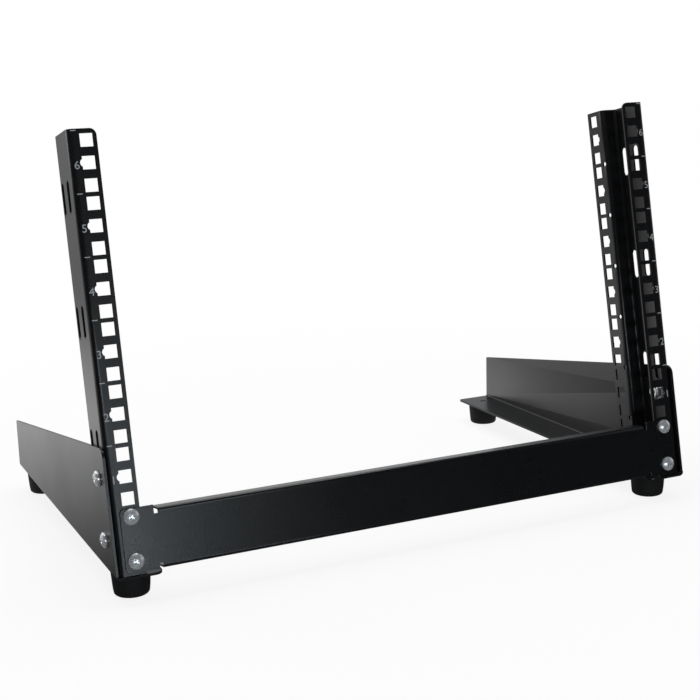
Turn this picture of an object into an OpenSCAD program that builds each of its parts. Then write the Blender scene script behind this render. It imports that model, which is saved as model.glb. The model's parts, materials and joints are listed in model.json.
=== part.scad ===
// Desktop two post open frame rack, six usable units, millimetres.
// +X is to the right, +Y to the back, +Z up. The origin lies on the desk,
// under the middle of the whole rack. Folded sheet posts lean back on two
// side brackets, a one unit crossbar joins them in front, and four rubber
// feet carry the brackets.

/* [Rack pattern] */
// Units of height on each post, the crossbar's own unit included
rack_units = 7; // [3:1:12]
// Height of one rack unit
unit_h = 44.45; // [44:0.05:46]
// Distance between the three hole rows inside a unit
row_pitch = 15.875; // [15:0.005:16]
// Distance between the left and right hole columns
column_gap = 465.1; // [460:0.1:470]
// Side of a square mounting hole
square_hole = 9.5; // [8:0.1:10.5]
// Diameter of the round notch beside the middle hole of each unit
notch_d = 6; // [3:0.1:8]
// How far the notch reaches past the square hole
notch_reach = 1.6; // [0.5:0.1:2]

/* [Posts] */
// Angle by which the posts lean back
lean = 11; // [0:0.5:20]
// Sheet thickness of the posts
post_gauge = 1.5; // [1:0.1:2.5]
// Inside radius of the folds in the posts
post_fold_r = 2.5; // [0.5:0.1:3]
// Clear width between the posts' front flanges
rack_opening = 450; // [446:0.5:452]
// Width of a post's front flange
front_flange_w = 21; // [19:0.5:25]
// Depth of a post's outer web, front face to back face
web_depth = 39; // [34:0.5:60]
// Inward step behind the web
step_w = 15.5; // [14:0.5:18]
// Width of the rear strip, measured from the step's front face
strip_w = 21; // [19:0.5:30]
// Rear strip hole centres in front of the strip's back edge
strip_hole_edge = 7.6; // [6.5:0.1:9]
// Post above the centre of the top hole row
top_margin = 8.2; // [7:0.1:15]
// Corner radius of the front flange at the top
flange_corner_r = 5; // [1:0.5:7]
// Length of the slots in the web
slot_l = 24; // [12:0.5:30]
// Width of the slots in the web
slot_w = 7; // [4:0.1:8]
// Centre of the front slot behind the post's front face
slot_front = 14.5; // [12:0.5:18]
// Distance between the two slots of a pair
slot_gap = 16; // [12:0.5:16]
// Diameter of the small holes in the strip's fold at each unit boundary
pilot_d = 4; // [2:0.1:5]

/* [Brackets] */
// Length of a side bracket
bracket_l = 322; // [260:1:400]
// Height of a bracket at its front
bracket_front_h = 93; // [85:0.5:110]
// Height of a bracket at its back
bracket_rear_h = 43.5; // [30:0.5:60]
// Sheet thickness of the brackets
bracket_gauge = 2; // [1.5:0.1:3]
// Inside radius of the brackets' fold
bracket_fold_r = 1.5; // [0.5:0.1:3]
// Width of the bottom flange, the plate's thickness included
bracket_flange = 35; // [32:0.5:45]
// How far the plate's front edge stands proud of the posts
bracket_proud = 1.5; // [0:0.1:3]
// Corner radius at the top of the plate's front edge
bracket_corner_r = 7; // [2:0.5:10]
// Corner radius at the back of the plate
bracket_back_r = 1; // [0.5:0.5:6]
// Corner radius of the bottom flange at its front
flange_end_r = 6; // [1:0.5:10]
// Corner radius of the bottom flange at its back
flange_back_r = 2; // [1:0.5:6]

/* [Crossbar] */
// Crossbar past the centre of each hole column
bar_past_hole = 7.45; // [6.5:0.05:9]
// Height of the crossbar over its two flanges
bar_h = 43.5; // [42:0.1:44]
// Bottom edge of the crossbar below the lowest hole row
bar_drop = 8.4; // [6:0.1:9]
// End tabs of the crossbar above its top flange
bar_tab_rise = 2.5; // [0.5:0.1:4]
// Sheet thickness of the crossbar
bar_gauge = 1.5; // [1:0.1:2.5]
// Inside radius of the crossbar's folds
bar_fold_r = 1; // [0.5:0.1:2]
// Gap between the crossbar's flanges and the brackets' flanges
bar_flange_gap = 0.5; // [0.3:0.1:5]
// Depth of the folded back flanges, front face to edge
bar_flange_d = 16; // [10:0.5:18]
// Width of the relief cut at each end of a flange
relief_w = 3; // [2:0.1:4]
// Depth of the relief cut
relief_d = 4; // [3.6:0.1:6]
// Corner radius of the crossbar
bar_corner_r = 3; // [1:0.5:5]
// Lowest hole row above the brackets' bottom flange
row_lift = 10; // [9.5:0.1:16]

/* [Feet] */
// Height of a rubber foot
foot_h = 20; // [12:0.5:40]
// Diameter of a foot at the desk
foot_base_d = 26.5; // [20:0.5:30]
// Diameter of a foot at the bracket
foot_top_d = 29.5; // [22:0.5:32]
// Radius of the foot's bottom edge
foot_edge_r = 2.5; // [0.5:0.1:3]
// Centre of the front feet behind the bracket's front end
foot_front = 26; // [18:0.5:60]
// Centre of the rear feet in front of the bracket's back end
foot_rear = 19; // [16:0.5:60]
// Diameter of the screw pocket under a foot
pocket_d = 14; // [11:0.5:16]
// Depth of the screw pocket
pocket_h = 12; // [8:0.5:16]
// Shank diameter of a foot screw
foot_screw_d = 5; // [4:0.1:6]
// Head diameter of a foot screw
foot_head_d = 9; // [7:0.1:11]
// Head height of a foot screw
foot_head_h = 3; // [2:0.1:4]

/* [Screws and nuts] */
// Shank diameter of the frame screws
screw_d = 6; // [5:0.1:6]
// Clearance of a screw in its hole, on the diameter
hole_clearance = 0.6; // [0.3:0.1:1]
// Head diameter of the frame screws
head_d = 11.5; // [10:0.1:13]
// Head height of the frame screws
head_h = 4; // [3:0.1:5]
// Width across the flats of a nut
nut_flats = 10; // [9:0.1:11]
// Height of a nut
nut_h = 5; // [4:0.1:6]
// Diameter of a nut's flange
nut_flange_d = 14; // [12:0.1:15]
// Thickness of a nut's flange
nut_flange_h = 1.2; // [0.8:0.1:2]
// Clearance of a screw in its nut, on the diameter
nut_clearance = 0.1; // [0.05:0.05:0.4]
// Screw tip past the nut
tip_past_nut = 1.5; // [0.5:0.1:3]
// Centre of the bracket screws behind the post's front face
side_screw_depth = 16; // [13:0.5:18]

/* [Hidden] */

$fn = 96;
left = -1;
right = 1;

// Finishes
powder_black = [0.10, 0.10, 0.11];
rubber_black = [0.05, 0.05, 0.05];
zinc = [0.78, 0.79, 0.80];

// Lengths that follow from the sizes above
post_span = rack_opening + 2 * front_flange_w;
web_x = post_span / 2;
column_x = column_gap / 2;
bar_w = column_gap + 2 * bar_past_hole;
bar_flange_w = 2 * (web_x + bracket_gauge - bracket_flange - bar_flange_gap);
seat_z = foot_h + bracket_gauge;
row_z = seat_z + row_lift;
post_top = (rack_units - 1) * unit_h + 2 * row_pitch + top_margin;
post_foot = -(row_lift + (web_depth + strip_w) * 2);
boundary_up = row_pitch * 2 + (unit_h - 2 * row_pitch) / 2;
strip_back = web_depth - post_gauge + strip_w;
strip_hole_y = strip_back - strip_hole_edge;
hole_d = screw_d + hole_clearance;
side_screw_rows = [row_pitch, row_pitch + unit_h];
bar_screw_rows = [0, 2 * row_pitch];
cut = 1;            // how far a cutting shape runs past the sheet
arc_overlap = 0.01; // lets an arc cross a slanted edge where it would only touch
dome_ratio = 0.75;  // radius of a screw head's dome over its diameter
recess_ratio = [0.56, 0.14, 0.55];  // cross recess over the head: length, width, depth

// Front end of the brackets at the desk side, and the frame's middle
bracket_y = -(row_lift + bracket_gauge) * tan(lean) - bracket_proud / cos(lean);
bracket_end_y = bracket_y + bracket_l;
head_dome_r = head_d * dome_ratio;
head_front_y = -(bar_gauge + head_h - head_dome_r) * cos(lean) - head_dome_r;
mid_y = (head_front_y + bracket_end_y) / 2;
foot_x = web_x + bracket_gauge - bracket_flange / 2;
foot_y = [bracket_y + foot_front, bracket_end_y - foot_rear];

// Moves the working frame, whose Y starts at the posts' front face at the
// lowest hole row, to the frame centred on the whole rack.
module centred() {
    translate([0, -mid_y, 0]) children();
}

// The leaning frame of the posts: X across, Y behind their front face,
// Z along the post from the lowest hole row.
module on_post() {
    centred() translate([0, 0, row_z]) rotate([-lean, 0, 0]) children();
}

module on_side(side) {
    mirror([side == left ? 1 : 0, 0, 0]) children();
}

// Quarter ring that joins two legs of folded sheet. The centre of the fold
// lies at the origin, and the legs meet towards -x and -y.
module fold(inner_r, gauge) {
    intersection() {
        difference() {
            circle(r = inner_r + gauge);
            circle(r = inner_r);
        }
        translate([-inner_r - gauge, -inner_r - gauge])
            square(inner_r + gauge);
    }
}

// Square hole with a round notch towards +x or -x, drawn on the flat.
module rack_hole(notched, towards) {
    square(square_hole, center = true);
    if (notched)
        translate([towards * (square_hole / 2 + notch_reach - notch_d / 2), 0])
            circle(d = notch_d);
}

// Section of the right post: front flange, web, step and rear strip.
// x runs inwards from the web's outer face, y back from the front face.
module post_section() {
    outer_r = post_fold_r + post_gauge;
    step_y = web_depth - post_gauge;
    translate([outer_r, 0]) square([web_x - rack_opening / 2 - outer_r, post_gauge]);
    translate([outer_r, outer_r]) fold(post_fold_r, post_gauge);
    translate([0, outer_r]) square([post_gauge, web_depth - 2 * outer_r]);
    translate([outer_r, web_depth - outer_r]) mirror([0, 1]) fold(post_fold_r, post_gauge);
    translate([outer_r, step_y]) square([step_w - 2 * outer_r, post_gauge]);
    translate([step_w - outer_r, step_y + outer_r]) mirror([1, 0]) fold(post_fold_r, post_gauge);
    translate([step_w - post_gauge, step_y + outer_r]) square([post_gauge, strip_w - outer_r]);
}

// Rounds a plate's corner at the origin: all beyond the arc, towards +x +y.
module corner_cut(r) {
    difference() {
        translate([-r, -r]) square(r + cut);
        translate([-r, -r]) circle(r = r);
    }
}

// The same for a corner whose two edges leave it at any pair of angles.
module slanted_corner_cut(edges, r) {
    half = (edges[1] - edges[0]) / 2;
    inwards = [cos(edges[0] + half), sin(edges[0] + half)];
    difference() {
        polygon([
            r / tan(half) * [cos(edges[0]), sin(edges[0])],
            r / sin(half) * inwards,
            r / tan(half) * [cos(edges[1]), sin(edges[1])],
            -cut * inwards
        ]);
        translate(r / sin(half) * inwards) circle(r = r + arc_overlap);
    }
}

module front_flange_cuts() {
    for (unit = [0 : rack_units - 1], row = [0 : 2])
        translate([column_x, post_gauge + cut, unit * unit_h + row * row_pitch])
            rotate([90, 0, 0])
                linear_extrude(post_gauge + 2 * cut) rack_hole(row == 1, 1);
    translate([rack_opening / 2, post_gauge + cut, post_top])
        rotate([90, 0, 0])
            linear_extrude(post_gauge + 2 * cut) mirror([1, 0]) corner_cut(flange_corner_r);
}

module strip_cuts() {
    for (unit = [0 : rack_units - 1], row = [0 : 2])
        translate([web_x - step_w - cut, strip_hole_y, unit * unit_h + row * row_pitch])
            rotate([90, 0, 90])
                linear_extrude(post_gauge + 2 * cut) rack_hole(row == 1, -1);
}

module step_cuts() {
    for (unit = [0 : rack_units - 2])
        translate([
            web_x - step_w - cut,
            web_depth + post_fold_r,
            unit * unit_h + boundary_up
        ])
            rotate([0, 90, 0])
                cylinder(d = pilot_d, h = cut + 2 * (post_fold_r + post_gauge));
}

// Upright slot with round ends, cut through a web in the x direction.
module web_slot() {
    rotate([0, 90, 0])
        linear_extrude(post_gauge + 2 * cut) {
            square([slot_l - slot_w, slot_w], center = true);
            for (end = [-1, 1])
                translate([end * (slot_l - slot_w) / 2, 0]) circle(d = slot_w);
        }
}

module web_cuts() {
    for (unit = [1 : 2 : rack_units - 2], back = [0, slot_gap])
        translate([web_x - post_gauge - cut, slot_front + back, unit * unit_h + boundary_up])
            web_slot();
    for (row = side_screw_rows)
        translate([web_x - post_gauge - cut, side_screw_depth, row])
            rotate([0, 90, 0])
                cylinder(d = hole_d, h = post_gauge + 2 * cut);
}

// One post, its foot cut level to stand on the bracket's bottom flange.
module post(side) {
    on_side(side)
        difference() {
            on_post()
                difference() {
                    translate([web_x, 0, post_foot])
                        mirror([1, 0, 0]) linear_extrude(post_top - post_foot) post_section();
                    front_flange_cuts();
                    strip_cuts();
                    step_cuts();
                    web_cuts();
                }
            centred()
                translate([0, -bracket_l, seat_z - bracket_l])
                    cube([post_span, 2 * bracket_l, bracket_l]);
        }
}

// Outline of a bracket's plate: x runs back from the front end of the
// bottom edge, y up from the underside of the bottom flange.
module plate_outline() {
    front_x = bracket_front_h * tan(lean);
    slope = atan((bracket_front_h - bracket_rear_h) / (bracket_l - front_x));
    difference() {
        polygon([
            [0, 0], [bracket_l, 0],
            [bracket_l, bracket_rear_h], [front_x, bracket_front_h]
        ]);
        translate([front_x, bracket_front_h])
            slanted_corner_cut([-90 - lean, -slope], bracket_corner_r);
        translate([bracket_l, bracket_rear_h])
            slanted_corner_cut([180 - slope, 270], bracket_back_r);
    }
}

// One side bracket: an upright plate outside the post, folded in below.
module bracket(side) {
    outer_r = bracket_fold_r + bracket_gauge;
    on_side(side) centred() translate([web_x, bracket_y, foot_h])
        difference() {
            union() {
                intersection() {
                    rotate([90, 0, 90]) linear_extrude(bracket_gauge) plate_outline();
                    translate([-cut, -cut, outer_r])
                        cube([bracket_gauge + 2 * cut, bracket_l + 2 * cut, bracket_front_h + cut]);
                }
                translate([bracket_gauge - outer_r, 0, outer_r])
                    rotate([-90, 0, 0]) mirror([1, 0, 0]) linear_extrude(bracket_l)
                        mirror([0, 1]) fold(bracket_fold_r, bracket_gauge);
                translate([bracket_gauge - bracket_flange, 0, 0])
                    cube([bracket_flange - outer_r, bracket_l, bracket_gauge]);
            }
            bracket_screw_cuts();
            translate([bracket_gauge - bracket_flange, 0, -cut])
                linear_extrude(bracket_gauge + 2 * cut) {
                    rotate(180) corner_cut(flange_end_r);
                    translate([0, bracket_l]) mirror([1, 0]) corner_cut(flange_back_r);
                }
            for (y = [foot_front, bracket_l - foot_rear])
                translate([bracket_gauge - bracket_flange / 2, y, -cut])
                    cylinder(d = foot_screw_d + hole_clearance, h = bracket_gauge + 2 * cut);
        }
}

// Screw holes of a bracket, placed from the leaning post they share.
module bracket_screw_cuts() {
    translate([-cut, -bracket_y, row_z - foot_h])
        rotate([-lean, 0, 0])
            for (row = side_screw_rows)
                translate([0, side_screw_depth, row])
                    rotate([0, 90, 0]) cylinder(d = hole_d, h = bracket_gauge + 2 * cut);
}

// Section of the crossbar: x runs back from its front face, y up from its
// bottom edge. A face with two folded back flanges.
module bar_section() {
    outer_r = bar_fold_r + bar_gauge;
    translate([0, outer_r]) square([bar_gauge, bar_h - 2 * outer_r]);
    for (flip = [0, 1])
        translate([0, bar_h / 2]) mirror([0, flip]) translate([0, -bar_h / 2]) {
            translate([outer_r, outer_r]) fold(bar_fold_r, bar_gauge);
            translate([outer_r, 0]) square([bar_flange_d - outer_r, bar_gauge]);
        }
}

// Flat of the crossbar's face, from its bottom edge up, with rounded corners
// and relief cuts. The end tabs rise above the top flange.
module bar_face() {
    face_h = bar_h + bar_tab_rise;
    difference() {
        translate([-bar_w / 2, 0]) square([bar_w, face_h]);
        for (x = [0, 1])
            mirror([x, 0]) {
                translate([bar_w / 2, face_h]) corner_cut(bar_corner_r);
                translate([bar_w / 2, 0]) mirror([0, 1]) corner_cut(bar_corner_r);
            }
        translate([-bar_flange_w / 2 - relief_w, -cut])
            square([bar_flange_w + 2 * relief_w, relief_d + cut]);
        translate([-bar_flange_w / 2 - relief_w, bar_h - relief_d])
            square([bar_flange_w + 2 * relief_w, relief_d + bar_tab_rise + cut]);
        for (x = [-column_x, column_x], row = bar_screw_rows)
            translate([x, row + bar_drop]) circle(d = hole_d);
    }
}

// Crossbar: a face in front of both posts with two flanges folded back.
module crossbar() {
    color(powder_black)
        on_post() translate([0, -bar_gauge, -bar_drop]) {
            rotate([90, 0, 0])
                translate([0, 0, -bar_gauge]) linear_extrude(bar_gauge) bar_face();
            translate([-bar_flange_w / 2, 0, 0])
                rotate([90, 0, 90]) linear_extrude(bar_flange_w) bar_section();
        }
}

// Tapered rubber foot with a rounded bottom edge and a screw pocket.
module foot(side, y) {
    top_r = foot_top_d / 2;
    base_r = foot_base_d / 2;
    color(rubber_black)
        centred() translate([side * foot_x, y, 0])
            difference() {
                rotate_extrude()
                    difference() {
                        polygon([[0, 0], [base_r, 0], [top_r, foot_h], [0, foot_h]]);
                        difference() {
                            translate([base_r - foot_edge_r, 0]) square(foot_edge_r);
                            translate([base_r - foot_edge_r, foot_edge_r]) circle(r = foot_edge_r);
                        }
                    }
                translate([0, 0, -cut]) cylinder(d = pocket_d, h = pocket_h + cut);
                cylinder(d = foot_screw_d + hole_clearance, h = foot_h + cut);
            }
}

// Domed head with a cross recess. It sits on z = 0 and points up.
module screw_head(diameter, height) {
    dome_r = diameter * dome_ratio;
    recess = [diameter * recess_ratio[0], diameter * recess_ratio[1], height];
    difference() {
        intersection() {
            cylinder(d = diameter, h = height);
            translate([0, 0, height - dome_r]) sphere(r = dome_r);
        }
        for (turn = [0, 90])
            rotate(turn)
                translate([-recess[0] / 2, -recess[1] / 2, height * (1 - recess_ratio[2])])
                    cube(recess);
    }
}

// Screw whose head sits on z = 0 and points to +z, its shank below.
module screw(shank_d, shank_l, diameter, height) {
    color(zinc) {
        screw_head(diameter, height);
        translate([0, 0, -shank_l]) cylinder(d = shank_d, h = shank_l);
    }
}

// Flanged nut on z = 0, pointing to +z, with a bore that clears the screw.
module nut() {
    color(zinc)
        difference() {
            union() {
                cylinder(d = nut_flange_d, h = nut_flange_h);
                cylinder(d = nut_flats / cos(30), h = nut_h, $fn = 6);
            }
            translate([0, 0, -cut]) cylinder(d = screw_d + nut_clearance, h = nut_h + 2 * cut);
        }
}

module foot_screw(side, y) {
    centred() translate([side * foot_x, y, pocket_h])
        mirror([0, 0, 1]) screw(foot_screw_d, seat_z - pocket_h, foot_head_d, foot_head_h);
}

module bar_screw(side, row) {
    shank_l = bar_gauge + post_gauge + nut_h + tip_past_nut;
    on_post() translate([side * column_x, -bar_gauge, row])
        rotate([90, 0, 0]) screw(screw_d, shank_l, head_d, head_h);
}

module bar_nut(side, row) {
    on_post() translate([side * column_x, post_gauge, row])
        rotate([-90, 0, 0]) nut();
}

module side_screw(side, row) {
    shank_l = bracket_gauge + post_gauge + nut_h + tip_past_nut;
    on_side(side) on_post() translate([web_x + bracket_gauge, side_screw_depth, row])
        rotate([0, 90, 0]) screw(screw_d, shank_l, head_d, head_h);
}

module side_nut(side, row) {
    on_side(side) on_post() translate([web_x - post_gauge, side_screw_depth, row])
        rotate([0, -90, 0]) nut();
}

module left_post() { color(powder_black) post(left); }
module right_post() { color(powder_black) post(right); }
module left_bracket() { color(powder_black) bracket(left); }
module right_bracket() { color(powder_black) bracket(right); }

left_post();
right_post();
left_bracket();
right_bracket();
crossbar();
foot(left, foot_y[0]);  // front_left_foot
foot(right, foot_y[0]);  // front_right_foot
foot(left, foot_y[1]);  // rear_left_foot
foot(right, foot_y[1]);  // rear_right_foot
foot_screw(left, foot_y[0]);  // front_left_foot_screw
foot_screw(right, foot_y[0]);  // front_right_foot_screw
foot_screw(left, foot_y[1]);  // rear_left_foot_screw
foot_screw(right, foot_y[1]);  // rear_right_foot_screw
bar_screw(left, bar_screw_rows[0]);  // lower_left_bar_screw
bar_screw(left, bar_screw_rows[1]);  // upper_left_bar_screw
bar_screw(right, bar_screw_rows[0]);  // lower_right_bar_screw
bar_screw(right, bar_screw_rows[1]);  // upper_right_bar_screw
bar_nut(left, bar_screw_rows[0]);  // lower_left_bar_nut
bar_nut(left, bar_screw_rows[1]);  // upper_left_bar_nut
bar_nut(right, bar_screw_rows[0]);  // lower_right_bar_nut
bar_nut(right, bar_screw_rows[1]);  // upper_right_bar_nut
side_screw(left, side_screw_rows[0]);  // lower_left_side_screw
side_screw(left, side_screw_rows[1]);  // upper_left_side_screw
side_screw(right, side_screw_rows[0]);  // lower_right_side_screw
side_screw(right, side_screw_rows[1]);  // upper_right_side_screw
side_nut(left, side_screw_rows[0]);  // lower_left_side_nut
side_nut(left, side_screw_rows[1]);  // upper_left_side_nut
side_nut(right, side_screw_rows[0]);  // lower_right_side_nut
side_nut(right, side_screw_rows[1]);  // upper_right_side_nut
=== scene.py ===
# %% [markdown]
# # A two post open frame rack, dressed in Blender
#
# This lesson dresses a small desktop rack that was drawn in CAD: two leaning posts of folded
# sheet steel with rows of square holes, two side brackets, a folded crossbar and four rubber
# feet. The CAD gives the shapes and places. Here each surface gets its finish, the screws and
# nuts get their real detail, and the printed unit numbers are added.
#
# Everything is in metres, +X to the right, +Y to the back and +Z up, with the desk at Z = 0.

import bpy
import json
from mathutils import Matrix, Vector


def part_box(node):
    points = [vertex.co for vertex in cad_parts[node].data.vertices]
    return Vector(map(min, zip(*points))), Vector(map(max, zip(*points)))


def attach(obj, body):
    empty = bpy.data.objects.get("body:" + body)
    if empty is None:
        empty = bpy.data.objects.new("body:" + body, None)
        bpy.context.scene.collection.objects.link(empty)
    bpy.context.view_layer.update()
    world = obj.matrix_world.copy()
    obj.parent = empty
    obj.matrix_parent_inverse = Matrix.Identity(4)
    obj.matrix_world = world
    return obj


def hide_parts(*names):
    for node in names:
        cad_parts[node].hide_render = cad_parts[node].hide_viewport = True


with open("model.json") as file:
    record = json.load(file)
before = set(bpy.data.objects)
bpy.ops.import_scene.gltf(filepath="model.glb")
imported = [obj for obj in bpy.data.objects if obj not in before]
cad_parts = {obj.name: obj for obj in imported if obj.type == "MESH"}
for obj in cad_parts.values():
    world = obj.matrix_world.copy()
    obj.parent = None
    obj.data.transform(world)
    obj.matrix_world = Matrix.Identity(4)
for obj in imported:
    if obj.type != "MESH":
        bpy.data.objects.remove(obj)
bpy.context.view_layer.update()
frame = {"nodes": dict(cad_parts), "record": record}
nodes = frame["nodes"]
record = frame["record"]
print("pieces from CAD:", len(nodes))

# %% Modules and the scene
import bpy
import json
import math
from mathutils import Matrix, Vector

scene = bpy.context.scene
scene.view_settings.view_transform = "Standard"

# %% [markdown]
# ## The posts' own directions
#
# The posts lean back, and screws, nuts and numbers sit square on them. The record's mount for
# the hole grid says where the front faces are and which way they look, so the directions are
# read from there instead of being typed a second time. `along` runs up the post, `into` goes
# back into its depth. The hole rows follow the rack standard: 15.875, 15.875 and 12.7 mm.

# %% Directions and places on a post
grid = next(m for m in record["mounts"] if m["name"] == "square_hole_grid")
front = Vector(grid["axis"]).normalized()
into = -front
along = Vector((0.0, -into.z, into.y))
unit_h = 0.04445
row_pitch = 0.015875
grid_rows = 6 * unit_h + 2 * row_pitch
row_zero = Vector(grid["pos_m"]) - along * (grid_rows / 2)
column_x = 0.46510 / 2


def on_post(x, depth, height):
    """A place x to the side, depth behind the front faces, height above the lowest hole row."""
    return Vector((x, 0, 0)) + row_zero + into * depth + along * height


lean = math.degrees(math.asin(into.z * -1))
print("lean back: %.2f degrees, lowest row at" % lean, [round(v, 4) for v in row_zero])

# %% [markdown]
# ## The camera
#
# It comes early because everything else is judged through it. A camera looks down its own -Z.
# It is tipped up from there to the horizon and down again by its fall, turned to the right by
# its azimuth, and last rolled about its own axis. Multiplying the three turns in that order
# gives one matrix, and the lens is what a 36 mm sensor needs for this view.

# %% Camera at the left front, a little above the top hole row
view_azimuth = math.radians(24.931)
view_fall = math.radians(-12.038)
view_roll = math.radians(-1.643)
view_place = (-0.473785, -1.045836, 0.373797)
view_lens = 69.70
camera = bpy.data.objects.new("camera", bpy.data.cameras.new("camera"))
scene.collection.objects.link(camera)
camera.data.lens = view_lens
camera.data.sensor_width = 36.0
turn = (Matrix.Rotation(-view_azimuth, 4, "Z")
        @ Matrix.Rotation(math.pi / 2 + view_fall, 4, "X")
        @ Matrix.Rotation(view_roll, 4, "Z"))
camera.matrix_world = Matrix.Translation(view_place) @ turn
camera.data.clip_start = 0.05
camera.data.clip_end = 50
scene.camera = camera
print("camera at", [round(v, 3) for v in camera.location])

# %% [markdown]
# ## Node trees without fuss
#
# Materials are graphs of small boxes. Two helpers keep the graph readable: one adds a box and
# sets its values, the other joins two sockets.

# %% Helpers for material graphs
def add_node(tree, kind, place, **values):
    """One node of a graph at a place on its sheet, with its input values set by name."""
    node = tree.nodes.new(kind)
    node.location = place
    for name, value in values.items():
        if hasattr(node, name):
            setattr(node, name, value)
        else:
            node.inputs[name.replace("_", " ")].default_value = value
    return node


def join(tree, source, output, target, entry):
    """A wire from one node's output to another's input."""
    tree.links.new(source.outputs[output], target.inputs[entry])


def new_material(name):
    """An empty material with its shader and output in place."""
    material = bpy.data.materials.new(name)
    material.use_nodes = True
    tree = material.node_tree
    tree.nodes.clear()
    shader = add_node(tree, "ShaderNodeBsdfPrincipled", (300, 0))
    output = add_node(tree, "ShaderNodeOutputMaterial", (600, 0))
    join(tree, shader, "BSDF", output, "Surface")
    return material, tree, shader


def new_group(name, entries, exits):
    """A node group with named inputs and outputs. Each entry is (name, socket, default)."""
    group = bpy.data.node_groups.new(name, "ShaderNodeTree")
    for label, socket, default in entries:
        made = group.interface.new_socket(name=label, in_out="INPUT", socket_type=socket)
        made.default_value = default
    for label, socket in exits:
        group.interface.new_socket(name=label, in_out="OUTPUT", socket_type=socket)
    start = add_node(group, "NodeGroupInput", (-900, 0))
    end = add_node(group, "NodeGroupOutput", (700, 0))
    return group, start, end


def mixed(tree, place, low, high, factor=None):
    """A Mix node for colours from low to high; factor is a (node, output) pair."""
    mix = add_node(tree, "ShaderNodeMix", place, data_type="RGBA")
    mix.inputs[6].default_value = low
    mix.inputs[7].default_value = high
    if factor:
        tree.links.new(factor[0].outputs[factor[1]], mix.inputs[0])
    return mix


# %% [markdown]
# ## Powder coat
#
# Steel racks are sprayed with dry powder and baked. The skin that forms is satin black with
# fine dimples, called orange peel, and tiny matte specks. Two noises make it: one about a
# millimetre wide for the dimples, one finer for the specks. A third, slow noise stops large
# panels from looking even. Posts, brackets and crossbar share the effect, so it is one group
# that gives a colour, a roughness and a height, and each material keeps its own shader. The
# black is deeper than a coat's usual measured colour, so that it reads as black in this studio.

# %% The shared powder coat group
coat_black = (0.003, 0.0032, 0.0038, 1)
coat_speck = (0.011, 0.0115, 0.013, 1)
bar_black = (0.0022, 0.0025, 0.0031, 1)
bar_speck = (0.0105, 0.012, 0.0145, 1)
powder_coat, start, end = new_group(
    "powder_coat_skin",
    [("Base", "NodeSocketColor", coat_black),
     ("Speck", "NodeSocketColor", coat_speck),
     ("Peel", "NodeSocketFloat", 900.0),
     ("Sheen low", "NodeSocketFloat", 0.36),
     ("Sheen high", "NodeSocketFloat", 0.5)],
    [("Color", "NodeSocketColor"), ("Roughness", "NodeSocketFloat"),
     ("Height", "NodeSocketFloat")])
place = add_node(powder_coat, "ShaderNodeTexCoord", (-900, -300))
dimples = add_node(powder_coat, "ShaderNodeTexNoise", (-600, 0), Detail=2.0, Roughness=0.5)
specks = add_node(powder_coat, "ShaderNodeTexNoise", (-600, -300),
                  Scale=2600.0, Detail=1.0, Roughness=0.4)
clouds = add_node(powder_coat, "ShaderNodeTexNoise", (-600, -600), Scale=22.0, Detail=3.0)
for noise in (dimples, specks, clouds):
    join(powder_coat, place, "Object", noise, "Vector")
join(powder_coat, start, "Peel", dimples, "Scale")
speck_mask = add_node(powder_coat, "ShaderNodeMapRange", (-350, -300))
speck_mask.inputs["From Min"].default_value = 0.52
speck_mask.inputs["From Max"].default_value = 0.72
join(powder_coat, specks, "Fac", speck_mask, "Value")
skin = mixed(powder_coat, (-50, 200), (0, 0, 0, 1), (1, 1, 1, 1), (speck_mask, "Result"))
powder_coat.links.new(start.outputs["Base"], skin.inputs[6])
powder_coat.links.new(start.outputs["Speck"], skin.inputs[7])
powder_coat.links.new(skin.outputs[2], end.inputs["Color"])
sheen = add_node(powder_coat, "ShaderNodeMapRange", (-50, -100))
join(powder_coat, clouds, "Fac", sheen, "Value")
join(powder_coat, start, "Sheen low", sheen, "To Min")
join(powder_coat, start, "Sheen high", sheen, "To Max")
join(powder_coat, sheen, "Result", end, "Roughness")
relief = add_node(powder_coat, "ShaderNodeMath", (-50, -400), operation="MULTIPLY_ADD")
relief.inputs[1].default_value = 0.25
join(powder_coat, specks, "Fac", relief, 0)
join(powder_coat, dimples, "Fac", relief, 2)
join(powder_coat, relief, "Value", end, "Height")
print("group", powder_coat.name, "with", len(powder_coat.nodes), "nodes")


# %% Powder coated materials
def powder_material(name, base, speck, peel, sheen, bump, level):
    """Satin powder coat with its own colour, dimple size, sheen and gloss level."""
    material, tree, shader = new_material(name)
    skin = add_node(tree, "ShaderNodeGroup", (-300, 0))
    skin.node_tree = powder_coat
    skin.inputs["Base"].default_value = base
    skin.inputs["Speck"].default_value = speck
    skin.inputs["Peel"].default_value = peel
    skin.inputs["Sheen low"].default_value = sheen[0]
    skin.inputs["Sheen high"].default_value = sheen[1]
    join(tree, skin, "Color", shader, "Base Color")
    join(tree, skin, "Roughness", shader, "Roughness")
    dents = add_node(tree, "ShaderNodeBump", (0, -300), Strength=bump, Distance=0.0001)
    join(tree, skin, "Height", dents, "Height")
    join(tree, dents, "Normal", shader, "Normal")
    shader.inputs["Specular IOR Level"].default_value = level
    return material


powder_posts = powder_material("powder_coat_posts", coat_black, coat_speck,
                               peel=900, sheen=(0.27, 0.36), bump=0.3, level=0.5)
powder_brackets = powder_material("powder_coat_brackets", coat_black, coat_speck,
                                  peel=800, sheen=(0.27, 0.36), bump=0.3, level=0.5)
powder_bar = powder_material("powder_coat_crossbar", bar_black, bar_speck,
                             peel=700, sheen=(0.24, 0.32), bump=0.5, level=0.5)
print("powder coats:", powder_posts.name, powder_brackets.name, powder_bar.name)

# %% [markdown]
# ## Rubber
#
# The feet are moulded from matte black rubber. It hardly shines, picks up a little grey dust
# and has a very fine grain from the mould. A soft noise sets both the dust and the grain.

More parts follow.
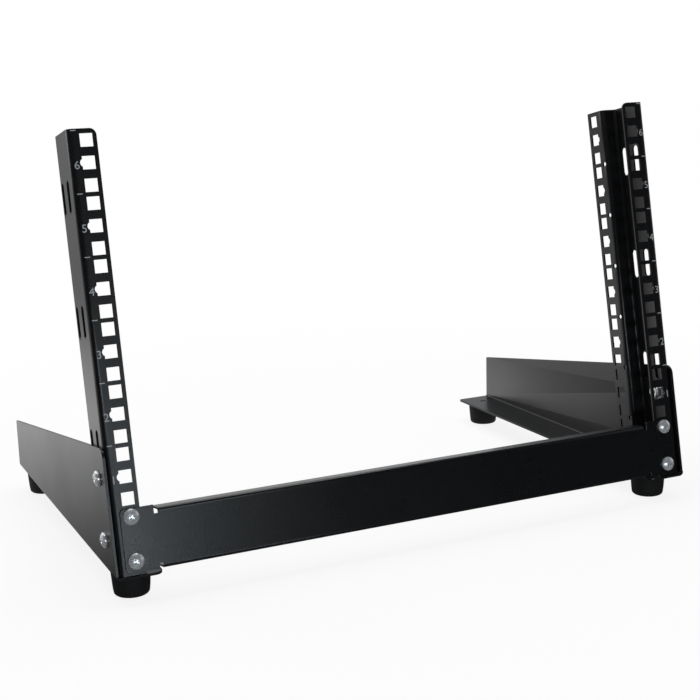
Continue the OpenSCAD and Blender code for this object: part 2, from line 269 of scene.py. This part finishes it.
# %% Rubber for the feet
rubber, tree, shader = new_material("foot_rubber")
place = add_node(tree, "ShaderNodeTexCoord", (-900, 0))
grain = add_node(tree, "ShaderNodeTexNoise", (-650, -250), Scale=1800.0, Detail=3.0)
bloom = add_node(tree, "ShaderNodeTexNoise", (-650, 150), Scale=120.0, Detail=4.0)
join(tree, place, "Object", grain, "Vector")
join(tree, place, "Object", bloom, "Vector")
dusty = mixed(tree, (-100, 150), (0.004, 0.004, 0.0045, 1), (0.009, 0.009, 0.0095, 1),
              (bloom, "Fac"))
tree.links.new(dusty.outputs[2], shader.inputs["Base Color"])
dull = add_node(tree, "ShaderNodeMapRange", (-100, -50))
dull.inputs["To Min"].default_value = 0.6
dull.inputs["To Max"].default_value = 0.8
join(tree, bloom, "Fac", dull, "Value")
join(tree, dull, "Result", shader, "Roughness")
pores = add_node(tree, "ShaderNodeBump", (0, -300), Strength=0.4, Distance=0.0001)
join(tree, grain, "Fac", pores, "Height")
join(tree, pores, "Normal", shader, "Normal")
shader.inputs["Specular IOR Level"].default_value = 0.3
print("rubber:", rubber.name)

# %% [markdown]
# ## Bright zinc
#
# The screws and nuts are zinc plated: a metal with a cool tint, mirror bright where the die
# pressed it and slightly cloudy elsewhere. A quarter of it is a dull whitish film rather than
# mirror metal. The plating is one group, used by the pressed screw heads and, a little duller,
# by the machined nuts.

# %% The shared zinc group and its two materials
zinc_metal_share = 0.75
zinc_plating, start, end = new_group(
    "zinc_plating",
    [("Bright", "NodeSocketColor", (0.82, 0.84, 0.86, 1)),
     ("Cloudy", "NodeSocketColor", (0.6, 0.62, 0.64, 1)),
     ("Polish", "NodeSocketFloat", 0.14),
     ("Dull", "NodeSocketFloat", 0.32)],
    [("Color", "NodeSocketColor"), ("Roughness", "NodeSocketFloat"),
     ("Height", "NodeSocketFloat")])
place = add_node(zinc_plating, "ShaderNodeTexCoord", (-900, -300))
cloud = add_node(zinc_plating, "ShaderNodeTexNoise", (-600, 0), Scale=420.0, Detail=3.0)
pits = add_node(zinc_plating, "ShaderNodeTexNoise", (-600, -300), Scale=2400.0, Detail=2.0)
join(zinc_plating, place, "Object", cloud, "Vector")
join(zinc_plating, place, "Object", pits, "Vector")
tint = mixed(zinc_plating, (-200, 200), (1, 1, 1, 1), (0, 0, 0, 1), (cloud, "Fac"))
zinc_plating.links.new(start.outputs["Bright"], tint.inputs[6])
zinc_plating.links.new(start.outputs["Cloudy"], tint.inputs[7])
zinc_plating.links.new(tint.outputs[2], end.inputs["Color"])
satin = add_node(zinc_plating, "ShaderNodeMapRange", (-200, -50))
join(zinc_plating, cloud, "Fac", satin, "Value")
join(zinc_plating, start, "Polish", satin, "To Min")
join(zinc_plating, start, "Dull", satin, "To Max")
join(zinc_plating, satin, "Result", end, "Roughness")
join(zinc_plating, pits, "Fac", end, "Height")


def zinc_material(name, bright, cloudy, polish, dull, bump):
    """Zinc plated steel, from bright and smooth to cloudy and dull."""
    material, tree, shader = new_material(name)
    plating = add_node(tree, "ShaderNodeGroup", (-300, 0))
    plating.node_tree = zinc_plating
    plating.inputs["Bright"].default_value = bright
    plating.inputs["Cloudy"].default_value = cloudy
    plating.inputs["Polish"].default_value = polish
    plating.inputs["Dull"].default_value = dull
    join(tree, plating, "Color", shader, "Base Color")
    join(tree, plating, "Roughness", shader, "Roughness")
    dents = add_node(tree, "ShaderNodeBump", (0, -300), Strength=bump, Distance=0.00005)
    join(tree, plating, "Height", dents, "Height")
    join(tree, dents, "Normal", shader, "Normal")
    shader.inputs["Metallic"].default_value = zinc_metal_share
    return material


zinc_screws = zinc_material("zinc_plated_screws", (0.84, 0.86, 0.88, 1),
                            (0.66, 0.68, 0.7, 1), polish=0.2, dull=0.34, bump=0.12)
zinc_nuts = zinc_material("zinc_plated_nuts", (0.8, 0.81, 0.83, 1),
                          (0.58, 0.59, 0.61, 1), polish=0.2, dull=0.38, bump=0.2)
print("zinc:", zinc_screws.name, zinc_nuts.name)

# %% [markdown]
# ## Printing ink
#
# The unit numbers and dashes are screen printed in light grey. The ink is matte and thin, and
# a fine noise makes its grey and its roughness slightly uneven.

# %% Ink
ink, tree, shader = new_material("printing_ink")
place = add_node(tree, "ShaderNodeTexCoord", (-900, 0))
thin = add_node(tree, "ShaderNodeTexNoise", (-650, 0), Scale=1500.0, Detail=2.0)
join(tree, place, "Object", thin, "Vector")
cover = mixed(tree, (-100, 100), (0.2, 0.22, 0.24, 1), (0.34, 0.36, 0.38, 1), (thin, "Fac"))
tree.links.new(cover.outputs[2], shader.inputs["Base Color"])
uneven = add_node(tree, "ShaderNodeMapRange", (-100, -150))
uneven.inputs["To Min"].default_value = 0.5
uneven.inputs["To Max"].default_value = 0.7
join(tree, thin, "Fac", uneven, "Value")
join(tree, uneven, "Result", shader, "Roughness")
print("ink:", ink.name)

# %% [markdown]
# ## The sheet metal
#
# The posts, brackets and crossbar are right as the CAD has them, so their meshes stay and only
# get modifiers. A powder coated edge is never sharp: the laser's edge is deburred and the coat
# pulls back from it, which leaves a small round that catches the light as a thin line. The
# CAD mesh comes as loose triangles, so Weld joins them, Decimate melts the flat ones into
# whole faces, and Bevel rounds what is left of the sharp edges by a quarter of a millimetre.

# %% Rounded edges and powder coat on the sheet metal
edge_round = 0.00025


def dress_sheet(name, material):
    """Modifiers and finish for one folded sheet part from CAD."""
    part = nodes[name]
    weld = part.modifiers.new("join_triangles", "WELD")
    weld.merge_threshold = 0.000005
    flats = part.modifiers.new("whole_faces", "DECIMATE")
    flats.decimate_type = "DISSOLVE"
    flats.angle_limit = math.radians(0.5)
    edge = part.modifiers.new("rounded_edges", "BEVEL")
    edge.width = edge_round
    edge.segments = 2
    edge.limit_method = "ANGLE"
    edge.angle_limit = math.radians(40)
    edge.harden_normals = True
    part.material_slots[0].material = material
    return part


sheet_parts = {"left_post": powder_posts, "right_post": powder_posts,
               "left_bracket": powder_brackets, "right_bracket": powder_brackets,
               "crossbar": powder_bar}
for name, material in sheet_parts.items():
    dress_sheet(name, material)
print("dressed:", ", ".join(sheet_parts))

# %% [markdown]
# ## Turned parts, made by hand
#
# Screws, nuts and feet are round, so they start as a profile that is spun about an axis. By
# hand one puts down a single point, extrudes it from corner to corner of the profile, and
# spins the line through a full turn. The helper below does exactly that: (radius, height)
# pairs in, a closed skin out. Doubles are merged afterwards, which closes the poles on the
# axis, and the normals are recalculated, because a spin can leave the skin inside out.

# %% Helpers for modelling
def select_nothing():
    """Leaves edit mode and clears the selection, so that an operator acts on one piece."""
    if bpy.context.object and bpy.context.object.mode != "OBJECT":
        bpy.ops.object.mode_set(mode="OBJECT")
    bpy.ops.object.select_all(action="DESELECT")


def work_on(piece):
    """Makes one piece the selected and active one."""
    select_nothing()
    piece.select_set(True)
    bpy.context.view_layer.objects.active = piece


def spun(name, profile, steps):
    """A closed round body from (radius, height) pairs in millimetres, about +Z."""
    select_nothing()
    bpy.ops.mesh.primitive_plane_add(size=0.001)
    piece = bpy.context.object
    piece.name = name
    bpy.ops.object.mode_set(mode="EDIT")
    bpy.ops.mesh.select_mode(type="VERT")
    bpy.ops.mesh.select_all(action="SELECT")
    bpy.ops.mesh.merge(type="CENTER")
    at = Vector((0, 0, 0))
    first = Vector((profile[0][0], 0, profile[0][1])) / 1000
    bpy.ops.transform.translate(value=first - at)
    at = first
    for radius, height in profile[1:]:
        corner = Vector((radius, 0, height)) / 1000
        bpy.ops.mesh.extrude_region_move(TRANSFORM_OT_translate={"value": corner - at})
        at = corner
    bpy.ops.mesh.select_all(action="SELECT")
    bpy.ops.mesh.spin(steps=steps, angle=2 * math.pi, center=(0, 0, 0), axis=(0, 0, 1))
    bpy.ops.mesh.select_all(action="SELECT")
    bpy.ops.mesh.remove_doubles(threshold=0.000002)
    bpy.ops.mesh.normals_make_consistent(inside=False)
    bpy.ops.object.mode_set(mode="OBJECT")
    return piece


def cut_with(piece, tool, operation):
    """Applies a boolean of the tool to the piece and removes the tool."""
    work_on(piece)
    boolean = piece.modifiers.new("boolean", "BOOLEAN")
    boolean.operation = operation
    boolean.solver = "EXACT"
    boolean.object = tool
    bpy.ops.object.modifier_apply(modifier=boolean.name)
    bpy.data.objects.remove(tool, do_unlink=True)


def round_edges(piece, width, angle, segments=2):
    """Applies a small bevel to every edge sharper than the angle, then smooth shading."""
    work_on(piece)
    bevel = piece.modifiers.new("edges", "BEVEL")
    bevel.width = width
    bevel.segments = segments
    bevel.limit_method = "ANGLE"
    bevel.angle_limit = math.radians(angle)
    bpy.ops.object.modifier_apply(modifier=bevel.name)
    bpy.ops.object.shade_smooth_by_angle(angle=math.radians(32))


def set_in_place(model, name, material, matrix, node):
    """A copy of a model with its own mesh, moved to its place, standing for a CAD node."""
    mesh = model.data.copy()
    mesh.name = name
    mesh.transform(matrix)
    mesh.materials.clear()
    mesh.materials.append(material)
    piece = bpy.data.objects.new(name, mesh)
    scene.collection.objects.link(piece)
    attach(piece, "root")
    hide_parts(node)
    return piece


# %% [markdown]
# ## Screws
#
# The frame is held by pan head machine screws with a cross recess. The head has a flat seat, a
# short wall, a rounded shoulder and a low dome. Under it the thread is a row of V shaped rings
# one millimetre apart, which reads as a thread at this size and stays light, and the tip is
# chamfered. The recess is cut last by two tapered blades set crosswise.

# %% One pan head screw, head up, its seat at height 0
def thread_profile(radius, length, pitch):
    """Corners of a shank from its tip up to the seat, with V shaped rings."""
    root = radius - 0.55 * pitch
    corners = [(0, -length), (root * 0.92, -length), (root, -length + 0.3 * pitch)]
    height = -length + 0.8 * pitch
    while height < -0.6 * pitch:
        corners.append((radius, height))
        corners.append((root, height + 0.5 * pitch))
        height += pitch
    corners.append((radius * 0.95, -0.25 * pitch))
    corners.append((radius * 0.95, 0))
    return corners


def dome_profile(diameter, height, flatness=0.75, steps=7):
    """Corners of a pan head from its seat round the shoulder to the middle of the dome."""
    edge = diameter / 2
    dome = diameter * flatness
    middle = height - dome
    wall = middle + math.sqrt(dome ** 2 - (edge * 0.97) ** 2)
    corners = [(edge * 0.94, 0), (edge * 0.985, 0.1), (edge, 0.32), (edge, wall - 0.35),
               (edge * 0.99, wall - 0.1)]
    for step in range(steps):
        reach = edge * 0.965 * (1 - step / steps)
        corners.append((reach, middle + math.sqrt(dome ** 2 - reach ** 2)))
    corners.append((0, height))
    return corners


def recess_blade(width, thickness, top, depth, turn):
    """One tapered blade of the cross recess driver, turned about the screw's axis."""
    select_nothing()
    bpy.ops.mesh.primitive_cube_add(size=0.001, location=(0, 0, 0))
    blade = bpy.context.object
    bpy.ops.object.mode_set(mode="EDIT")
    bpy.ops.mesh.select_all(action="SELECT")
    bpy.ops.transform.resize(value=(width, thickness, depth + 1))
    bpy.ops.transform.translate(value=(0, 0, (top + 1 - (depth + 1) / 2) / 1000))
    bpy.ops.mesh.select_all(action="DESELECT")
    bpy.ops.object.mode_set(mode="OBJECT")
    for face in blade.data.polygons:
        face.select = face.normal.z < -0.5
    bpy.ops.object.mode_set(mode="EDIT")
    bpy.ops.mesh.select_mode(type="FACE")
    bpy.ops.transform.resize(value=(0.45, 0.75, 1), center_override=(0, 0, 0))
    bpy.ops.mesh.select_all(action="SELECT")
    bpy.ops.transform.rotate(value=turn, orient_axis="Z", center_override=(0, 0, 0))
    bpy.ops.object.mode_set(mode="OBJECT")
    return blade


def pan_head_screw(name, diameter, length, head, height):
    """A finished screw model in metres, measured in millimetres."""
    profile = thread_profile(diameter / 2, length, 1.0 if diameter > 5.5 else 0.8)
    screw = spun(name, profile + dome_profile(head, height), 48)
    for turn in (math.radians(45), math.radians(135)):
        blade = recess_blade(head * 0.56, head * 0.13, height, height * 0.55, turn)
        cut_with(screw, blade, "DIFFERENCE")
    round_edges(screw, 0.00006, 38)
    return screw


bar_screw = pan_head_screw("bar_screw_model", diameter=6.0, length=9.5, head=11.5, height=4.0)
side_screw = pan_head_screw("side_screw_model", diameter=6.0, length=10.0, head=11.5, height=4.0)
foot_screw = pan_head_screw("foot_screw_model", diameter=5.0, length=9.2, head=9.0, height=3.0)
for screw in (bar_screw, side_screw, foot_screw):
    print(screw.name, len(screw.data.polygons), "faces")


# %% [markdown]
# ## Nuts
#
# Behind the sheets sit hexagon flange nuts: a six sided cylinder whose corners are taken off by
# a cone, a thin tapered flange under it, and a bore with a chamfer at both ends. The cone is a
# spun body that the hexagon is intersected with, which is what a lathe does to a hexagon bar.

# %% One flange nut, its flange at height 0
def flange_nut(name, flats, height, flange, flange_h, bore):
    """A finished nut model in metres, measured in millimetres."""
    select_nothing()
    corner = flats / 2 / math.cos(math.radians(30))
    bpy.ops.mesh.primitive_cylinder_add(vertices=6, radius=corner / 1000,
                                        depth=height / 1000,
                                        location=(0, 0, height / 2000))
    bpy.ops.object.transform_apply(location=True, rotation=True, scale=True)
    nut = bpy.context.object
    nut.name = name
    top = flats / 2 * 0.96
    drop = (8 - top) * math.tan(math.radians(30))
    cone = spun("nut_cone", [(0, -1), (8, -1), (8, height - drop), (top, height),
                             (0, height)], 48)
    cut_with(nut, cone, "INTERSECT")
    edge = flange / 2
    skirt = spun("nut_flange", [(0, 0), (edge - 0.15, 0), (edge, 0.15), (edge, 0.45),
                                (edge - 0.2, 0.6), (flats / 2 * 0.98, flange_h),
                                (0, flange_h)], 48)
    cut_with(nut, skirt, "UNION")
    drill = spun("nut_bore", [(0, -1), (bore / 2 + 1.5, -1), (bore / 2 + 0.5, 0),
                              (bore / 2, 0.5), (bore / 2, height - 0.5),
                              (bore / 2 + 0.5, height), (bore / 2 + 1.5, height + 1),
                              (0, height + 1)], 48)
    cut_with(nut, drill, "DIFFERENCE")
    round_edges(nut, 0.00008, 30)
    return nut


nut = flange_nut("flange_nut_model", flats=10.0, height=5.0, flange=14.0, flange_h=1.2,
                 bore=6.1)
print(nut.name, len(nut.data.polygons), "faces")

# %% [markdown]
# ## Putting the fasteners in their places
#
# Each fastener stands for one CAD node. The bar screws look forwards out of the crossbar and
# hold the lowest and the third hole row. The side screws come from outside through bracket and
# web. A matrix with the part's own directions as its columns turns and moves a copy's mesh, so
# the object itself stays at the origin.

# %% Places for screws and nuts
bar_sheet = 0.0015
post_sheet = 0.0015
screw_depth = 0.016


def facing(axis, place, up):
    """A matrix that points a model's +Z along axis at a place, its +Y near up."""
    side = up.cross(axis).normalized()
    matrix = Matrix((side, axis.cross(side), axis)).transposed().to_4x4()
    matrix.translation = place
    return matrix


fasteners = []
for side, name in ((-1, "left"), (1, "right")):
    out = Vector((side, 0, 0))
    plate = max(abs(x) for x in (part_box(name + "_bracket")[0].x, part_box(name + "_bracket")[1].x))
    web = max(abs(x) for x in (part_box(name + "_post")[0].x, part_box(name + "_post")[1].x))
    for row, level in ((0, "lower"), (2 * row_pitch, "upper")):
        seat = on_post(side * column_x, -bar_sheet, row)
        back = on_post(side * column_x, post_sheet, row)
        node = f"{level}_{name}_bar_"
        fasteners.append(set_in_place(bar_screw, node + "screw_detail", zinc_screws,
                                      facing(front, seat, along), node + "screw"))
        fasteners.append(set_in_place(nut, node + "nut_detail", zinc_nuts,
                                      facing(into, back, along), node + "nut"))
    for row, level in ((row_pitch, "lower"), (row_pitch + unit_h, "upper")):
        seat = on_post(side * plate, screw_depth, row)
        inner = on_post(side * (web - post_sheet), screw_depth, row)
        node = f"{level}_{name}_side_"
        fasteners.append(set_in_place(side_screw, node + "screw_detail", zinc_screws,
                                      facing(out, seat, along), node + "screw"))
        fasteners.append(set_in_place(nut, node + "nut_detail", zinc_nuts,
                                      facing(-out, inner, along), node + "nut"))
print("fasteners on the frame:", len(fasteners))

# %% [markdown]
# ## Feet
#
# A foot is a tapered rubber puck, wider at the top, with a rounded bottom edge and a deep pocket
# that hides its screw. It is spun from one profile. The mould leaves a small round at every
# corner, so those are part of the profile.

# %% Feet and their screws
foot_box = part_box("front_left_foot")
foot_h = (foot_box[1].z - foot_box[0].z) * 1000
top_r = (foot_box[1].x - foot_box[0].x) * 500
base_r = top_r - 1.5
slope = (top_r - base_r) / foot_h


def wall(height):
    """Radius of the foot's side at a height."""
    return base_r + slope * height


foot_profile = [(2.8, foot_h), (2.8, 12), (6.6, 12), (7, 11.6), (7, 0.5), (7.5, 0)]
foot_profile += [(base_r - 2.5 + 2.5 * math.sin(a), 2.5 - 2.5 * math.cos(a))
                 for a in (math.radians(d) for d in range(0, 91, 15))]
foot_profile += [(wall(6), 6), (wall(12), 12), (wall(17.5), 17.5), (wall(19.3), 19.3),
                 (wall(19.3) - 0.15, 19.75), (wall(19.3) - 0.6, foot_h), (2.8, foot_h)]
foot = spun("foot_model", foot_profile, 96)
work_on(foot)
bpy.ops.object.shade_smooth_by_angle(angle=math.radians(40))

for name in ("front_left", "front_right", "rear_left", "rear_right"):
    low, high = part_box(name + "_foot")
    middle = (low + high) / 2
    stand = Matrix.Translation((middle.x, middle.y, 0))
    set_in_place(foot, name + "_foot_detail", rubber, stand, name + "_foot")
    up_shank = Matrix.Translation((middle.x, middle.y, 0.012)) @ Matrix.Rotation(math.pi, 4, "X")
    set_in_place(foot_screw, name + "_foot_screw_detail", zinc_screws, up_shank,
                 name + "_foot_screw")
for model in (bar_screw, side_screw, foot_screw, nut, foot):
    bpy.data.objects.remove(model, do_unlink=True)
print("foot:", len(foot_profile), "corners in its profile, top radius %.2f mm" % top_r)

# %% [markdown]
# ## Printed unit numbers
#
# Rack posts carry the number of each unit beside its middle hole and a dash at each unit's
# boundary. They are printed on the front flange near the outer fold. Each mark starts as text
# or a plane, is made a mesh, cut into strips so that it can bend, laid in front of the post,
# and pressed onto it by a Shrinkwrap modifier. Solidify then gives the ink its thin body.

# %% Marks on both posts
mark_gap = 0.00003
mark_body = 0.00003
figure_size = (0.0040, 0.0057)
figure_x = 0.2413
figure_drop = 0.002          # below the middle of the unit's second hole
dash_size = (0.0038, 0.0007)
dash_x = 0.2415
boundary_rise = 0.00635      # half of the 12.7 mm step between two units


def mark_matrix(x, height):
    """Lays a flat mark in front of the posts' faces, its top up the post."""
    return facing(front, on_post(x, -0.003, height), along)


def strips(piece):
    """Cuts a flat mark by upright planes so that it can follow the fold."""
    work_on(piece)
    bpy.ops.object.mode_set(mode="EDIT")
    reach = int(round(max(abs(v.co.x) for v in piece.data.vertices) * 2000)) + 1
    for step in range(-reach, reach):
        bpy.ops.mesh.select_all(action="SELECT")
        bpy.ops.mesh.bisect(plane_co=(step * 0.0005, 0, 0), plane_no=(1, 0, 0))
    bpy.ops.object.mode_set(mode="OBJECT")


def numeral(text, width, height):
    """One printed figure, centred, as a flat mesh of the given size in metres."""
    select_nothing()
    bpy.ops.object.text_add()
    figure = bpy.context.object
    figure.data.body = text
    figure.data.size = 0.008
    figure.data.resolution_u = 4
    bpy.ops.object.convert(target="MESH")
    figure = bpy.context.object
    low = [min(v.co[i] for v in figure.data.vertices) for i in range(2)]
    high = [max(v.co[i] for v in figure.data.vertices) for i in range(2)]
    centre = Vector(((low[0] + high[0]) / 2, (low[1] + high[1]) / 2, 0))
    scale = height / (high[1] - low[1])
    wide = min(scale, width / (high[0] - low[0]))
    figure.data.transform(Matrix.Diagonal((wide, scale, 1, 1)) @ Matrix.Translation(-centre))
    strips(figure)
    return figure


def dash(width, height):
    """One printed dash, centred, as a flat mesh."""
    select_nothing()
    bpy.ops.mesh.primitive_plane_add(size=1)
    line = bpy.context.object
    bpy.ops.object.mode_set(mode="EDIT")
    bpy.ops.mesh.select_all(action="SELECT")
    bpy.ops.transform.resize(value=(width, height, 1), center_override=(0, 0, 0))
    bpy.ops.object.mode_set(mode="OBJECT")
    strips(line)
    return line


def print_marks(side, name):
    """All marks of one post, joined and pressed onto its front."""
    marks = []
    for unit in range(1, 7):
        figure = numeral(str(unit), *figure_size)
        middle = unit * unit_h + row_pitch - figure_drop
        figure.data.transform(mark_matrix(side * figure_x, middle))
        marks.append(figure)
    for unit in range(1, 7):
        line = dash(*dash_size)
        boundary = unit * unit_h + 2 * row_pitch + boundary_rise
        line.data.transform(mark_matrix(side * dash_x, boundary))
        marks.append(line)
    select_nothing()
    for mark in marks:
        mark.select_set(True)
    bpy.context.view_layer.objects.active = marks[0]
    bpy.ops.object.join()
    sheet = bpy.context.object
    sheet.name = name + "_post_print"
    sheet.data.name = sheet.name
    work_on(sheet)
    press = sheet.modifiers.new("press", "SHRINKWRAP")
    press.target = nodes[name + "_post"]
    press.wrap_method = "PROJECT"
    press.use_project_y = True
    press.use_positive_direction = True
    press.use_negative_direction = False
    press.offset = mark_gap
    bpy.ops.object.modifier_apply(modifier=press.name)
    body = sheet.modifiers.new("ink", "SOLIDIFY")
    body.thickness = mark_body
    body.offset = 1
    bpy.ops.object.modifier_apply(modifier=body.name)
    sheet.data.materials.clear()
    sheet.data.materials.append(ink)
    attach(sheet, "root")
    return sheet


for side, name in ((-1, "left"), (1, "right")):
    sheet = print_marks(side, name)
    print(sheet.name, len(sheet.data.polygons), "faces")

# %% [markdown]
# ## Studio
#
# The rack stands in a white studio. Near the rack most of what the camera sees of the floor is
# plain white and the rest is lit paint, so the soft shadow stays. Further out the floor is all
# white and melts into the background, which is plain white for the camera.
#
# A black coat shows mainly what it mirrors, so what reflections see is set in the floor and
# the room. The floor glows for reflections only, a painted reflection: dark in front of the
# rack and bright just behind it, where it goes above plain white. The room is light at the
# back, half light at the right and dark in front, as a studio is behind its lamps, and one
# soft box there lights the crossbar's left half.

# %% How bright the camera and reflections find the studio
floor_paint_level = 0.8
white_near = 0.86                                        # white share of the floor at the rack
white_near_reach, white_far_reach = 0.3, 0.9             # metres from the rack's middle
# The floor's glow for reflections is a painted reflection, and these levels set it.
painted_reflection_strength = 1.3                                       # multiplies the levels below
painted_reflection_levels = [(-0.3, 0.02), (-0.1, 0.08), (0.05, 0.32), (0.16, 0.52), (0.38, 0.98),
              (0.6, 0.8), (1.1, 0.3), (2.5, 0.42)]       # distance to the back, level
room_dark, room_light, room_side = 0.01, 0.6, 0.5
room_fill = 0.5

# %% Floor
select_nothing()
bpy.ops.mesh.primitive_plane_add(size=30, location=(0, 0, 0))
floor = bpy.context.object
floor.name = "floor"
bpy.ops.object.mode_set(mode="EDIT")
bpy.ops.mesh.select_all(action="SELECT")
bpy.ops.transform.translate(value=(0, 0, -0.0002))
bpy.ops.object.mode_set(mode="OBJECT")
floor_paint = bpy.data.materials.new("studio_floor")
floor_paint.use_nodes = True
tree = floor_paint.node_tree
tree.nodes.clear()
place = add_node(tree, "ShaderNodeTexCoord", (-1100, 0))
paint = add_node(tree, "ShaderNodeBsdfDiffuse", (0, 0), Color=(floor_paint_level,) * 3 + (1,))
glow = add_node(tree, "ShaderNodeEmission", (0, -200), Color=(1, 1, 1, 1), Strength=1.0)
path = add_node(tree, "ShaderNodeLightPath", (-600, 400))
reach = add_node(tree, "ShaderNodeVectorMath", (-900, 200), operation="LENGTH")
join(tree, place, "Object", reach, 0)
fade = add_node(tree, "ShaderNodeMapRange", (-700, 200))
fade.inputs["From Min"].default_value = white_near_reach
fade.inputs["From Max"].default_value = white_far_reach
fade.inputs["To Min"].default_value = white_near
fade.inputs["To Max"].default_value = 1.0
join(tree, reach, "Value", fade, "Value")
share = add_node(tree, "ShaderNodeMath", (-300, 300), operation="MULTIPLY")
join(tree, path, "Is Camera Ray", share, 0)
join(tree, fade, "Result", share, 1)
blend = add_node(tree, "ShaderNodeMixShader", (250, 0))
join(tree, share, "Value", blend, "Fac")
tree.links.new(paint.outputs["BSDF"], blend.inputs[1])
tree.links.new(glow.outputs["Emission"], blend.inputs[2])
where = add_node(tree, "ShaderNodeSeparateXYZ", (-900, -300))
join(tree, place, "Object", where, "Vector")
depth = add_node(tree, "ShaderNodeMapRange", (-700, -300))
depth.inputs["From Min"].default_value = painted_reflection_levels[0][0]
depth.inputs["From Max"].default_value = painted_reflection_levels[-1][0]
join(tree, where, "Y", depth, "Value")
ramp = add_node(tree, "ShaderNodeValToRGB", (-500, -300))
stops = ramp.color_ramp.elements
span = painted_reflection_levels[-1][0] - painted_reflection_levels[0][0]
stops[0].color = (painted_reflection_levels[0][1],) * 3 + (1,)
stops[1].color = (painted_reflection_levels[-1][1],) * 3 + (1,)
for y, level in painted_reflection_levels[1:-1]:
    stops.new((y - painted_reflection_levels[0][0]) / span).color = (level,) * 3 + (1,)
join(tree, depth, "Result", ramp, "Fac")
# Glossy rays see the floor as a glowing painted reflection at these levels, not as lit paint.
painted_reflection_glow = add_node(tree, "ShaderNodeEmission", (0, -400), Strength=painted_reflection_strength)
join(tree, ramp, "Color", painted_reflection_glow, "Color")
reflected = add_node(tree, "ShaderNodeMixShader", (500, -100))
join(tree, path, "Is Glossy Ray", reflected, "Fac")
tree.links.new(blend.outputs[0], reflected.inputs[1])
tree.links.new(painted_reflection_glow.outputs[0], reflected.inputs[2])
output = add_node(tree, "ShaderNodeOutputMaterial", (750, 0))
join(tree, reflected, "Shader", output, "Surface")
floor.data.materials.append(floor_paint)

# %% Background
world = bpy.data.worlds.new("studio")
scene.world = world
world.use_nodes = True
tree = world.node_tree
tree.nodes.clear()
path = add_node(tree, "ShaderNodeLightPath", (-600, 300))
direction = add_node(tree, "ShaderNodeTexCoord", (-1000, -100))
parts = add_node(tree, "ShaderNodeSeparateXYZ", (-800, -100))
join(tree, direction, "Generated", parts, "Vector")
depth = add_node(tree, "ShaderNodeMapRange", (-600, -100))
depth.inputs["From Min"].default_value = 0.3
depth.inputs["From Max"].default_value = 0.85
depth.inputs["To Min"].default_value = room_dark
depth.inputs["To Max"].default_value = room_light
join(tree, parts, "Y", depth, "Value")
aside = add_node(tree, "ShaderNodeMapRange", (-600, -350))
aside.inputs["From Min"].default_value = 0.72
aside.inputs["From Max"].default_value = 1.0
aside.inputs["To Max"].default_value = room_side
join(tree, parts, "X", aside, "Value")
brighter = add_node(tree, "ShaderNodeMath", (-400, -200), operation="MAXIMUM")
join(tree, depth, "Result", brighter, 0)
join(tree, aside, "Result", brighter, 1)
room = add_node(tree, "ShaderNodeBackground", (-200, -100), Color=(0.96, 0.98, 1, 1))
join(tree, brighter, "Value", room, "Strength")
fill = add_node(tree, "ShaderNodeBackground", (-200, 100), Color=(1, 1, 1, 1),
                Strength=room_fill)
clear = add_node(tree, "ShaderNodeBackground", (-200, 300), Color=(1, 1, 1, 1), Strength=1.0)
glossy = add_node(tree, "ShaderNodeMixShader", (50, 0))
join(tree, path, "Is Glossy Ray", glossy, "Fac")
tree.links.new(fill.outputs[0], glossy.inputs[1])
tree.links.new(room.outputs[0], glossy.inputs[2])
seen = add_node(tree, "ShaderNodeMixShader", (250, 100))
join(tree, path, "Is Camera Ray", seen, "Fac")
tree.links.new(glossy.outputs[0], seen.inputs[1])
tree.links.new(clear.outputs[0], seen.inputs[2])
output = add_node(tree, "ShaderNodeOutputWorld", (450, 100))
join(tree, seen, "Shader", output, "Surface")


# %% Soft boxes
def soft_box(name, place, aim, width, height, power):
    """A large soft lamp at a place, turned to the point it lights."""
    lamp = bpy.data.objects.new(name, bpy.data.lights.new(name, "AREA"))
    lamp.data.shape = "RECTANGLE"
    lamp.data.size = width
    lamp.data.size_y = height
    lamp.data.energy = power
    lamp.location = place
    lamp.rotation_euler = (Vector(aim) - Vector(place)).to_track_quat("-Z", "Y").to_euler()
    scene.collection.objects.link(lamp)
    return lamp


soft_box("top_box", (0.0, 0.3, 2.0), (0, 0, 0.1), width=1.8, height=1.6, power=26)
soft_box("left_box", (-1.3, 1.7, 1.0), (0, 0, 0.15), width=1.2, height=1.0, power=6)
front_box = soft_box("front_box", (-0.22, -1.9, 0.13), (-0.22, 0, 0.1),
                     width=0.75, height=0.26, power=6.6)
front_box.data.color = (0.84, 0.93, 1.0)
